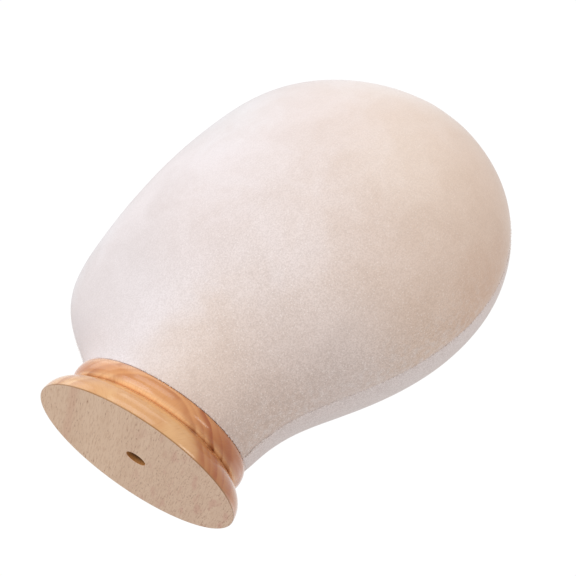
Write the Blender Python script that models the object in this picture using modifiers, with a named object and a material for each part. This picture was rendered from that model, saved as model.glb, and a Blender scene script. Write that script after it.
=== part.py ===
"""Hat stand: a faceless head form on a turned wooden base.

A foam head with a plywood plug let into its neck is covered by two velvet halves,
whose hems are stapled under the plug. One screw through the base draws the two
together. The face looks along -Y, its own left side is +X, and the stand rests on z = 0.
Metres throughout.
"""
import math

import bmesh
import bpy
from mathutils import Matrix, Vector

# Clearances
GAP = 0.0003            # between two pieces that touch on the real stand
CUT_OVERRUN = 0.002     # how far a cutter runs past the face that it opens

# Turned base
BASE_RADIUS = 0.0607
BASE_HEIGHT = 0.0261
BASE_EDGE_ROUND = 0.0004
BASE_FOOT_HEIGHT = 0.0006       # plain rim below the flange's curve
FLANGE_REACH = 0.0186           # radial half axis of the flange's elliptical curve
FLANGE_CREST_HEIGHT = 0.0155    # where that curve would turn level, were there no groove
GROOVE_RADIUS = 0.0490          # bottom of the groove between flange and bead
GROOVE_HEIGHT = 0.0151          # upper edge of the groove's plain wall
BEAD_RADIUS = 0.0526
BEAD_WIDEST_HEIGHT = 0.0201
BASE_TOP_RADIUS = 0.0501
BASE_WEB = 0.0080               # wood left between the counterbore and the top face

# Head form, over the velvet
NECK_RADIUS = 0.0504
VELVET_THICKNESS = 0.0012
HEM_INNER_RADIUS = 0.0330       # edge of the velvet turned in under the neck
CROWN_HEIGHT = 0.2429           # above the bottom of the neck
CROWN_SETBACK = 0.0191          # the crown's highest point lies behind the neck's axis
SECTION_SHIFT = 0.06            # widest line behind the middle, as a share of the depth

# Cage rings above the neck: height over the neck's bottom, then the reach from the
# neck's axis to the face, to the back of the head and to each side.
HEAD_RINGS = (
    (0.0074, 0.0570, 0.0524, 0.0516),
    (0.0207, 0.0765, 0.0560, 0.0540),
    (0.0413, 0.0901, 0.0666, 0.0586),
    (0.0754, 0.0906, 0.0957, 0.0680),
    (0.1167, 0.0882, 0.1164, 0.0762),
    (0.1604, 0.0780, 0.1204, 0.0765),
    (0.1993, 0.0640, 0.1049, 0.0637),
    (0.2273, 0.0306, 0.0729, 0.0383),
)
CAGE_SIDES = 12
HEAD_SUBDIVISIONS = 2

# Plywood plug in the neck
PLUG_RADIUS = 0.0440
PLUG_THICKNESS = 0.0150

# Screw, washer and threaded insert
SCREW_RADIUS = 0.0030
SCREW_LENGTH = 0.0300
SCREW_HEAD_RADIUS = 0.0050
SCREW_HEAD_HEIGHT = 0.0060
SCREW_TIP_CHAMFER = 0.0006
KEY_ACROSS_FLATS = 0.0050
KEY_DEPTH = 0.0030
WASHER_RADIUS = 0.0055
WASHER_THICKNESS = 0.0010
INSERT_BARREL_RADIUS = 0.0040
INSERT_BARREL_LENGTH = 0.0090
INSERT_FLANGE_RADIUS = 0.0095
INSERT_FLANGE_THICKNESS = 0.0012

# Staples through the hem into the plug
STAPLE_COUNT = 12
STAPLE_EDGE_DISTANCE = 0.0050   # the staple ring lies this far in from the plug's rim
STAPLE_WIDTH = 0.0100
STAPLE_LEG = 0.0060
STAPLE_WIRE = 0.0005            # crown thickness and leg width
STAPLE_DEPTH = 0.0007           # wire size across the crown

# Fineness of the round shapes
TURNED_STEPS = 56
SMALL_STEPS = 24
BEAD_TOP_STEPS = 5
BEAD_BOTTOM_STEPS = 6
FLANGE_STEPS = 9
FOOT_STEPS = 3
MERGE_DISTANCE = 0.00001
SHARP_EDGE_DEGREES = 32

# Heights and radii that follow from the sizes above
NECK_BOTTOM = BASE_HEIGHT + GAP
HEM_TOP = NECK_BOTTOM + VELVET_THICKNESS
PLUG_BOTTOM = HEM_TOP + GAP
PLUG_TOP = PLUG_BOTTOM + PLUG_THICKNESS
COUNTERBORE_TOP = BASE_HEIGHT - BASE_WEB
WASHER_BOTTOM = COUNTERBORE_TOP - GAP - WASHER_THICKNESS
SCREW_SEAT = WASHER_BOTTOM - GAP
SCREW_TIP = SCREW_SEAT + SCREW_LENGTH
INSERT_TOP = PLUG_TOP + GAP + INSERT_FLANGE_THICKNESS
COUNTERBORE_RADIUS = WASHER_RADIUS + GAP
SCREW_HOLE_RADIUS = SCREW_RADIUS + GAP
STAPLE_RING_RADIUS = PLUG_RADIUS - STAPLE_EDGE_DISTANCE

# A subdivided surface pulls in from a cage of this many sides by a known share,
# so the cage's rings are swelled by it.
CAGE_SWELL = 3 / (2 + math.cos(math.tau / CAGE_SIDES))

COLOURS = {
    "lacquered_wood": ((0.72, 0.43, 0.22), 0.28, 0.0),
    "plywood": ((0.66, 0.50, 0.32), 0.60, 0.0),
    "foam": ((0.90, 0.90, 0.87), 0.85, 0.0),
    "velvet": ((0.80, 0.70, 0.62), 0.90, 0.0),
    "zinc_steel": ((0.62, 0.62, 0.60), 0.35, 1.0),
}


def clear_scene():
    """Remove whatever the file holds, so that the stand is all there is."""
    for obj in list(bpy.data.objects):
        bpy.data.objects.remove(obj, do_unlink=True)


def new_collection(name):
    collection = bpy.data.collections.new(name)
    bpy.context.scene.collection.children.link(collection)
    return collection


def make_material(name):
    """A Principled material from the table of colours."""
    colour, roughness, metallic = COLOURS[name]
    material = bpy.data.materials.new(name)
    material.use_nodes = True
    shader = material.node_tree.nodes["Principled BSDF"]
    shader.inputs["Base Color"].default_value = (*colour, 1.0)
    shader.inputs["Roughness"].default_value = roughness
    shader.inputs["Metallic"].default_value = metallic
    return material


def add_object(name, mesh, collection, parent, material=None):
    """Link a mesh as a named object under the stand's frame."""
    obj = bpy.data.objects.new(name, mesh)
    collection.objects.link(obj)
    obj.parent = parent
    if material:
        mesh.materials.append(material)
        mesh.shade_smooth()
        mesh.set_sharp_from_angle(angle=math.radians(SHARP_EDGE_DEGREES))
    else:
        obj.hide_render = True
        obj.display_type = "WIRE"
    return obj


def mesh_from_bmesh(name, bm):
    mesh = bpy.data.meshes.new(name)
    bm.to_mesh(mesh)
    bm.free()
    return mesh


def arc(centre, radii, start, end, count):
    """Points along an ellipse in the (radius, height) plane, angles in degrees."""
    points = []
    for i in range(count + 1):
        angle = math.radians(start + (end - start) * i / count)
        points.append((centre[0] + radii[0] * math.cos(angle), centre[1] + radii[1] * math.sin(angle)))
    return points


def turned(name, profile, steps, collection, parent, material=None, closed=True):
    """Spin a (radius, height) profile, listed down its outer side, about the Z axis."""
    bm = bmesh.new()
    verts = [bm.verts.new((radius, 0.0, height)) for radius, height in profile]
    for lower, upper in zip(verts, verts[1:]):
        bm.edges.new((lower, upper))
    if closed:
        bm.edges.new((verts[-1], verts[0]))
    obj = add_object(name, mesh_from_bmesh(name, bm), collection, parent, material)
    screw = obj.modifiers.new("spin", "SCREW")
    screw.axis = "Z"
    screw.angle = math.tau
    screw.steps = steps
    screw.render_steps = steps
    screw.use_merge_vertices = True
    screw.merge_threshold = MERGE_DISTANCE
    screw.use_smooth_shade = True
    return obj


def cut(obj, cutter):
    """Take a cutter's volume out of a piece."""
    boolean = obj.modifiers.new("cut_" + cutter.name, "BOOLEAN")
    boolean.operation = "DIFFERENCE"
    boolean.solver = "EXACT"
    boolean.object = cutter
    return boolean


def base_profile():
    """Bead, groove, flange and underside, then up the stepped screw hole."""
    bead_low = BEAD_WIDEST_HEIGHT - GROOVE_HEIGHT
    bead_high = BASE_HEIGHT - BEAD_WIDEST_HEIGHT
    bead_top = arc((BASE_TOP_RADIUS, BEAD_WIDEST_HEIGHT),
                   (BEAD_RADIUS - BASE_TOP_RADIUS, bead_high), 90, 0, BEAD_TOP_STEPS)
    bead_bottom = arc((GROOVE_RADIUS, BEAD_WIDEST_HEIGHT),
                      (BEAD_RADIUS - GROOVE_RADIUS, bead_low), 0, -90, BEAD_BOTTOM_STEPS)
    flange_centre = BASE_RADIUS - FLANGE_REACH
    groove_angle = math.degrees(math.acos((GROOVE_RADIUS - flange_centre) / FLANGE_REACH))
    flange = arc((flange_centre, BASE_FOOT_HEIGHT),
                 (FLANGE_REACH, FLANGE_CREST_HEIGHT - BASE_FOOT_HEIGHT), groove_angle, 0, FLANGE_STEPS)
    foot = arc((BASE_RADIUS - BASE_EDGE_ROUND, BASE_EDGE_ROUND),
               (BASE_EDGE_ROUND, BASE_EDGE_ROUND), 0, -90, FOOT_STEPS)
    hole = [
        (COUNTERBORE_RADIUS, 0.0),
        (COUNTERBORE_RADIUS, COUNTERBORE_TOP),
        (SCREW_HOLE_RADIUS, COUNTERBORE_TOP),
        (SCREW_HOLE_RADIUS, BASE_HEIGHT),
    ]
    return bead_top + bead_bottom[1:] + flange + foot + hole


def plug_profile():
    """Plywood disc with a screw hole that widens for the insert's barrel."""
    barrel_hole = INSERT_BARREL_RADIUS + GAP
    barrel_floor = INSERT_TOP - INSERT_FLANGE_THICKNESS - INSERT_BARREL_LENGTH - GAP
    return [
        (PLUG_RADIUS, PLUG_TOP),
        (PLUG_RADIUS, PLUG_BOTTOM),
        (SCREW_HOLE_RADIUS, PLUG_BOTTOM),
        (SCREW_HOLE_RADIUS, barrel_floor),
        (barrel_hole, barrel_floor),
        (barrel_hole, PLUG_TOP),
    ]


def insert_profile():
    """Flanged threaded insert, let in from the top of the plug."""
    flange_bottom = INSERT_TOP - INSERT_FLANGE_THICKNESS
    barrel_bottom = flange_bottom - INSERT_BARREL_LENGTH
    return [
        (INSERT_FLANGE_RADIUS, INSERT_TOP),
        (INSERT_FLANGE_RADIUS, flange_bottom),
        (INSERT_BARREL_RADIUS, flange_bottom),
        (INSERT_BARREL_RADIUS, barrel_bottom),
        (SCREW_HOLE_RADIUS, barrel_bottom),
        (SCREW_HOLE_RADIUS, INSERT_TOP),
    ]


def washer_profile():
    top = WASHER_BOTTOM + WASHER_THICKNESS
    return [
        (WASHER_RADIUS, top),
        (WASHER_RADIUS, WASHER_BOTTOM),
        (SCREW_HOLE_RADIUS, WASHER_BOTTOM),
        (SCREW_HOLE_RADIUS, top),
    ]


def screw_profile():
    """Shank with a chamfered tip above a cylindrical head, closed on the axis."""
    head_bottom = SCREW_SEAT - SCREW_HEAD_HEIGHT
    return [
        (0.0, SCREW_TIP),
        (SCREW_RADIUS - SCREW_TIP_CHAMFER, SCREW_TIP),
        (SCREW_RADIUS, SCREW_TIP - SCREW_TIP_CHAMFER),
        (SCREW_RADIUS, SCREW_SEAT),
        (SCREW_HEAD_RADIUS, SCREW_SEAT),
        (SCREW_HEAD_RADIUS, head_bottom),
        (0.0, head_bottom),
    ]


def neck_pocket_profile():
    """Stepped pocket in the foam for the plug, the insert's flange and the screw's tip."""
    plug_roof = PLUG_TOP + GAP
    flange_roof = INSERT_TOP + GAP
    tip_roof = SCREW_TIP + GAP
    return [
        (0.0, tip_roof),
        (SCREW_HOLE_RADIUS, tip_roof),
        (SCREW_HOLE_RADIUS, flange_roof),
        (INSERT_FLANGE_RADIUS + GAP, flange_roof),
        (INSERT_FLANGE_RADIUS + GAP, plug_roof),
        (PLUG_RADIUS + GAP, plug_roof),
        (PLUG_RADIUS + GAP, PLUG_BOTTOM - CUT_OVERRUN),
        (0.0, PLUG_BOTTOM - CUT_OVERRUN),
    ]


def key_cutter(collection, parent):
    """Six-sided key socket in the screw's head, open downwards."""
    bottom = SCREW_SEAT - SCREW_HEAD_HEIGHT - CUT_OVERRUN
    top = SCREW_SEAT - SCREW_HEAD_HEIGHT + KEY_DEPTH
    corner_radius = KEY_ACROSS_FLATS / math.sqrt(3)
    bm = bmesh.new()
    bmesh.ops.create_cone(bm, cap_ends=True, segments=6, radius1=corner_radius, radius2=corner_radius,
                          depth=top - bottom, matrix=Matrix.Translation((0, 0, (top + bottom) / 2)))
    return add_object("key_cutter", mesh_from_bmesh("key_cutter", bm), collection, parent)


def ring_points(height, front, back, half_width):
    """One cage ring, an oval wider behind its middle, from the face round to the back."""
    centre = (back - front) / 2 + SECTION_SHIFT * (front + back)
    points = []
    for i in range(CAGE_SIDES):
        angle = math.tau * i / CAGE_SIDES
        reach = (front + centre) if math.cos(angle) > 0 else (back - centre)
        points.append((CAGE_SWELL * half_width * math.sin(angle),
                       centre - CAGE_SWELL * reach * math.cos(angle), height))
    return points


def neck_ring(height, radius):
    """A round cage ring on the neck's axis."""
    angles = [math.tau * i / CAGE_SIDES for i in range(CAGE_SIDES)]
    reach = CAGE_SWELL * radius
    return [(reach * math.sin(angle), -reach * math.cos(angle), height) for angle in angles]


def head_cage(inset, floor, hem_radius):
    """Coarse cage of the head, pulled in along its normals by inset.

    The rings run up from the neck's bottom edge, on the floor height, to the crown.
    With a hem radius the neck is left open inside that ring, else it is closed flat.
    """
    rings = [neck_ring(NECK_BOTTOM, NECK_RADIUS)]
    rings += [ring_points(NECK_BOTTOM + height, front, back, half_width)
              for height, front, back, half_width in HEAD_RINGS]
    bm = bmesh.new()
    loops = [[bm.verts.new(point) for point in ring] for ring in rings]
    crown = bm.verts.new((0.0, CROWN_SETBACK, NECK_BOTTOM + CROWN_HEIGHT))
    for lower, upper in zip(loops, loops[1:]):
        for i in range(CAGE_SIDES):
            j = (i + 1) % CAGE_SIDES
            bm.faces.new((lower[i], lower[j], upper[j], upper[i]))
    for i in range(CAGE_SIDES):
        bm.faces.new((loops[-1][i], loops[-1][(i + 1) % CAGE_SIDES], crown))
    bm.normal_update()
    for vert, normal in [(v, v.normal.copy()) for v in bm.verts]:
        vert.co -= normal * inset
    edge = loops[0]
    for vert, point in zip(edge, neck_ring(floor, NECK_RADIUS - inset)):
        vert.co = Vector(point)
    if hem_radius:
        hem = [bm.verts.new(point) for point in neck_ring(floor, hem_radius)]
        for i in range(CAGE_SIDES):
            j = (i + 1) % CAGE_SIDES
            bm.faces.new((hem[i], hem[j], edge[j], edge[i]))
    else:
        bm.faces.new(list(reversed(edge)))
    crease_neck_edge(bm, edge)
    bmesh.ops.recalc_face_normals(bm, faces=bm.faces)
    return bm


def crease_neck_edge(bm, edge):
    """Keep the neck's bottom edge sharp when the cage is subdivided."""
    crease = bm.edges.layers.float.new("crease_edge")
    for a, b in zip(edge, edge[1:] + edge[:1]):
        bm.edges.get((a, b))[crease] = 1.0


def add_subdivision(obj):
    modifier = obj.modifiers.new("smooth", "SUBSURF")
    modifier.levels = HEAD_SUBDIVISIONS
    modifier.render_levels = HEAD_SUBDIVISIONS
    return modifier


def half_space_cutter(name, side, collection, parent):
    """Box that takes away the head's other half, up to the seam's gap.

    It is twice the head's height each way, so it reaches past the half on every side.
    """
    size = 2 * (NECK_BOTTOM + CROWN_HEIGHT)
    near = side * GAP / 2
    bm = bmesh.new()
    centre = Matrix.Translation((near - side * size / 2, 0, NECK_BOTTOM + CROWN_HEIGHT / 2))
    bmesh.ops.create_cube(bm, size=size, matrix=centre)
    return add_object(name, mesh_from_bmesh(name, bm), collection, parent)


def staple_outline(grow, below):
    """Outline of a staple standing on its crown: (across, up), grown by a clearance."""
    half = STAPLE_WIDTH / 2
    wire = STAPLE_WIRE
    crown_bottom = NECK_BOTTOM - below
    crown_top = NECK_BOTTOM + wire + grow
    tip = NECK_BOTTOM + wire + STAPLE_LEG + grow
    outer = half + grow
    inner = half - wire - grow
    return [(-outer, crown_bottom), (outer, crown_bottom), (outer, tip), (inner, tip),
            (inner, crown_top), (-inner, crown_top), (-inner, tip), (-outer, tip)]


def add_staple_prism(bm, outline, depth, angle):
    """Stand one staple outline on the staple ring, its crown along the ring."""
    turn = Matrix.Rotation(angle, 4, "Z")
    sides = []
    for offset in (-depth / 2, depth / 2):
        corners = [turn @ Vector((across, STAPLE_RING_RADIUS + offset, up)) for across, up in outline]
        sides.append([bm.verts.new(corner) for corner in corners])
    inner, outer = sides
    bm.faces.new(inner)
    bm.faces.new(list(reversed(outer)))
    count = len(outline)
    for i in range(count):
        j = (i + 1) % count
        bm.faces.new((inner[j], inner[i], outer[i], outer[j]))


def staple_angles():
    """Even spacing that keeps every staple off the seam."""
    step = math.tau / STAPLE_COUNT
    return [step * (i + 0.5) for i in range(STAPLE_COUNT)]


def staple_mesh(name, angles, grow, below):
    bm = bmesh.new()
    for angle in angles:
        add_staple_prism(bm, staple_outline(grow, below), STAPLE_DEPTH + 2 * grow, angle)
    bmesh.ops.recalc_face_normals(bm, faces=bm.faces)
    return mesh_from_bmesh(name, bm)


def centre_on_footprint(frame, covers):
    """Put the frame's origin under the middle of the whole object's box."""
    depsgraph = bpy.context.evaluated_depsgraph_get()
    reach = []
    for cover in covers:
        mesh = cover.evaluated_get(depsgraph).to_mesh()
        reach += [vert.co.y for vert in mesh.vertices]
    frame.location.y = -(min(reach) + max(reach)) / 2


def build_base(parts, frame, wood, steel, cutters):
    """The turned base with the screw and washer that stand in its counterbore."""
    turned("base", base_profile(), TURNED_STEPS, parts, frame, wood)
    turned("washer", washer_profile(), SMALL_STEPS, parts, frame, steel)
    screw = turned("fixing_screw", screw_profile(), SMALL_STEPS, parts, frame, steel, closed=False)
    cut(screw, key_cutter(cutters, frame))


def build_neck(parts, frame, plywood, steel, slots):
    """The plywood plug, its threaded insert and the staples that hold the hem."""
    plug = turned("neck_plug", plug_profile(), TURNED_STEPS, parts, frame, plywood)
    cut(plug, slots)
    turned("threaded_insert", insert_profile(), SMALL_STEPS, parts, frame, steel)
    for number, angle in enumerate(staple_angles(), start=1):
        name = f"staple_{number:02d}"
        add_object(name, staple_mesh(name, [angle], 0.0, 0.0), parts, frame, steel)


def build_core(parts, frame, foam, cutters):
    """The foam head, one skin's thickness inside the velvet, with its neck pocket."""
    cage = head_cage(VELVET_THICKNESS + GAP, PLUG_BOTTOM, None)
    core = add_object("foam_core", mesh_from_bmesh("foam_core", cage), parts, frame, foam)
    add_subdivision(core)
    cut(core, turned("neck_pocket", neck_pocket_profile(), TURNED_STEPS, cutters, frame, closed=False))


def build_cover(name, side, parts, frame, velvet, cutters, slots):
    """One half of the velvet, side +1 or -1 along X, with its hem turned in below."""
    cage = mesh_from_bmesh(name, head_cage(0.0, NECK_BOTTOM, HEM_INNER_RADIUS))
    cover = add_object(name, cage, parts, frame, velvet)
    add_subdivision(cover)
    shell = cover.modifiers.new("cloth", "SOLIDIFY")
    shell.thickness = VELVET_THICKNESS
    shell.offset = -1
    shell.use_even_offset = True
    cut(cover, half_space_cutter(name + "_far_side", side, cutters, frame))
    cut(cover, slots)
    return cover


def build():
    clear_scene()
    parts = new_collection("hat_stand")
    cutters = new_collection("cutters")
    frame = bpy.data.objects.new("stand_frame", None)
    parts.objects.link(frame)
    wood, plywood, foam, velvet, steel = [make_material(name) for name in COLOURS]
    slot_mesh = staple_mesh("staple_slots", staple_angles(), GAP, CUT_OVERRUN)
    slots = add_object("staple_slots", slot_mesh, cutters, frame)

    build_base(parts, frame, wood, steel, cutters)
    build_neck(parts, frame, plywood, steel, slots)
    build_core(parts, frame, foam, cutters)
    left = build_cover("velvet_left", 1, parts, frame, velvet, cutters, slots)
    right = build_cover("velvet_right", -1, parts, frame, velvet, cutters, slots)
    centre_on_footprint(frame, (left, right))


build()
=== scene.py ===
"""Looks of the hat stand: velvet over a foam head, on a turned and lacquered wooden base.

The face looks along -Y, the head's own left side is +X and the stand rests on z = 0.
Metres throughout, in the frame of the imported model.
"""

import math
import random

import bmesh
import bpy
from mathutils import Matrix, Vector, noise


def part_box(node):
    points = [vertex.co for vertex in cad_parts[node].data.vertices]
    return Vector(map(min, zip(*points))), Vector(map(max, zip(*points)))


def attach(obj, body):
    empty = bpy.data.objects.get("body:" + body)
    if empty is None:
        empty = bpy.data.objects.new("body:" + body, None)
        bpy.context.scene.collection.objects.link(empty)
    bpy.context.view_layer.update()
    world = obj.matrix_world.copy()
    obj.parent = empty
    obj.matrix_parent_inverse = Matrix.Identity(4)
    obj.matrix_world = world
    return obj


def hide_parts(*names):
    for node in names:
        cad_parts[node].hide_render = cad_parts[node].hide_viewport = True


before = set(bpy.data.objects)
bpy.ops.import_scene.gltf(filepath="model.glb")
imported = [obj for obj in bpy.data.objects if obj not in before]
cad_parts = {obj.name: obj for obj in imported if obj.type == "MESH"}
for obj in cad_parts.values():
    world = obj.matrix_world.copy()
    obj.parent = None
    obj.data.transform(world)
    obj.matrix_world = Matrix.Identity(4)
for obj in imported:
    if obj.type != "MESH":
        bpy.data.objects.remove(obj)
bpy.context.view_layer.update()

MM = 0.001

# Places taken from the frame
BASE_LOW, BASE_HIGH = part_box("base")
AXIS_Y = (BASE_LOW.y + BASE_HIGH.y) / 2
BASE_RADIUS = (BASE_HIGH.x - BASE_LOW.x) / 2
BASE_HEIGHT = BASE_HIGH.z
NECK_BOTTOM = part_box("velvet_left")[0].z
WASHER_CLEARANCE = 0.3 * MM
HOLE_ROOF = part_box("washer")[1].z + WASHER_CLEARANCE

# Camera
IMAGE_PIXELS = 576
FOCAL_PIXELS = 1702.78
SENSOR_MM = 36.0
CAMERA_AZIMUTH = math.radians(114.0)
CAMERA_ELEVATION = math.radians(-24.093)
CAMERA_ROLL = math.radians(34.949)
CAMERA_DISTANCE = 0.95
CAMERA_CLIP_START = 0.01
CAMERA_TARGET = Vector((0.0, AXIS_Y, 0.140))
CAMERA_SLIDE_RIGHT = 6.61 * MM
CAMERA_SLIDE_UP = -15.36 * MM

# Base profile
GROOVE_RADIUS = 49.0 * MM
GROOVE_HEIGHT = 15.1 * MM
BEAD_RADIUS = 52.6 * MM
BEAD_WIDEST_HEIGHT = 20.1 * MM
BASE_TOP_RADIUS = 50.1 * MM
FLANGE_REACH = 18.6 * MM
FLANGE_CREST_HEIGHT = 15.5 * MM
FOOT_HEIGHT = 0.6 * MM
FOOT_ROUND = 0.4 * MM
COUNTERBORE_RADIUS = 5.8 * MM
SCREW_HOLE_RADIUS = 3.3 * MM
HOLE_CHAMFER = 0.15 * MM
BASE_STEPS = 288
BEAD_TOP_STEPS = 14
BEAD_LOW_STEPS = 18
FLANGE_STEPS = 30
FOOT_STEPS = 7
UNDERSIDE_RINGS = 12
SHARP_ANGLE = math.radians(35)

# Head form over the velvet: height above the neck's bottom, then the reach from the
# neck's axis to the face, to the back of the head and to each side.
NECK_RADIUS = 50.4 * MM
HEM_INNER_RADIUS = 33.0 * MM
CROWN_HEIGHT = 242.9 * MM
CROWN_SETBACK = 19.1 * MM
SECTION_SHIFT = 0.06
HEAD_RINGS = (
    (7.4, 57.0, 52.4, 51.6),
    (20.7, 76.5, 56.0, 54.0),
    (41.3, 90.1, 66.6, 58.6),
    (75.4, 90.6, 95.7, 68.0),
    (116.7, 88.2, 116.4, 76.2),
    (160.4, 78.0, 120.4, 76.5),
    (199.3, 64.0, 104.9, 63.7),
    (227.3, 30.6, 72.9, 38.3),
)
CAGE_SIDES = 12
CAGE_SWELL = 3 / (2 + math.cos(math.tau / CAGE_SIDES))
HEAD_LEVELS = 4
HEAD_MIDDLE = Vector((0, 0, 0.14))

# Velvet; the loops are in mm from the seam and above the hem
CLOTH_THICKNESS = 1.2 * MM
SEAM_GAP = 0.06 * MM
SEAM_LOOPS = (0.15, 0.35, 0.6, 0.9, 1.25, 1.7, 2.3, 3.1, 4.2, 5.8)
SEAM_ROLL_WIDTH = 1.2 * MM
SEAM_ROLL_DEPTH = 0.32 * MM
SEAM_VALLEY_WIDTH = 4.5 * MM
SEAM_VALLEY_DEPTH = 0.5 * MM
PUCKER_LENGTH = 4.5 * MM
PUCKER_REACH = 4.0 * MM
PUCKER_DEPTH = 0.22 * MM
PUCKER_ROW = 7.0
SLOW_CHANGE = 0.22
ROLL_SLOW_SHARE = 0.45
ROLL_FINE_SHARE = 0.35
HEM_ROLL = 0.15 * MM
HEM_LOOPS = (0.05, 0.1, 0.3, 0.7, 1.3)
HEM_BAND = 3 * MM
HEM_GIVE = 0.3
HEM_TUCK = 0.75
HEM_LEVEL = 0.01 * MM
PAD_WAVE = 26 * MM
PAD_DEPTH = 0.12 * MM
RIM_HEIGHT = 8 * MM
RIM_SEAM_SHARE = 0.25

# Loose pile; the radii, the seam roots' depth and the hem roots' heights are in mm
TUFT_RADII = (0.07, 0.15)
TUFT_STRAY = 0.35
SEAM_TUFT_LENGTHS = (0.9 * MM, 2.0 * MM)
SEAM_TUFT_LEAN = 0.9
SEAM_TUFTS_PER_VERTEX = 5
SEAM_ROOT_BAND = (0.1 * MM, 0.5 * MM)
SEAM_ROOT_SCATTER = 0.5
SEAM_ROOT_DEPTH = 0.3
SEAM_PILE_START = 2 * MM
HEM_TUFT_LENGTHS = (0.9 * MM, 2.1 * MM)
HEM_TUFT_DROOP = 0.8
HEM_ROOT_HEIGHTS = (0.1, 1.0)
HEM_ROOT_DEPTH = 0.15 * MM
HEM_CLUMPS = 190
TUFTS_PER_CLUMP = 5
CLUMP_SWAY = 0.25
CLUMP_SWAY_TURN = 2.4
CLUMP_SPREAD = 0.16
HEM_FRONT_THINNING = 0.75
HEM_FRONT_SIDE = -0.05


def frame_axes():
    """The camera's right, up and backward directions in the model's frame."""
    az, el = CAMERA_AZIMUTH, CAMERA_ELEVATION
    back = Vector((math.sin(az) * math.cos(el), -math.cos(az) * math.cos(el), math.sin(el)))
    level_right = (-back).cross(Vector((0, 0, 1))).normalized()
    level_up = level_right.cross(-back)
    right = level_right * math.cos(CAMERA_ROLL) + level_up * math.sin(CAMERA_ROLL)
    up = -level_right * math.sin(CAMERA_ROLL) + level_up * math.cos(CAMERA_ROLL)
    return right, up, back


RIGHT, UP, BACK = frame_axes()


def pose_matrix(right, up, back, place):
    """World matrix of a camera or lamp that looks along -back from a place."""
    rotation = Matrix((right, up, back)).transposed().to_4x4()
    return Matrix.Translation(place) @ rotation


def add_camera():
    data = bpy.data.cameras.new("camera")
    data.sensor_width = SENSOR_MM
    data.lens = FOCAL_PIXELS / IMAGE_PIXELS * SENSOR_MM
    data.clip_start = CAMERA_CLIP_START
    camera = bpy.data.objects.new("camera", data)
    bpy.context.scene.collection.objects.link(camera)
    slide = RIGHT * CAMERA_SLIDE_RIGHT + UP * CAMERA_SLIDE_UP
    place = CAMERA_TARGET + BACK * CAMERA_DISTANCE + slide
    camera.matrix_world = pose_matrix(RIGHT, UP, BACK, place)
    bpy.context.scene.camera = camera


add_camera()


# Node helpers

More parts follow.
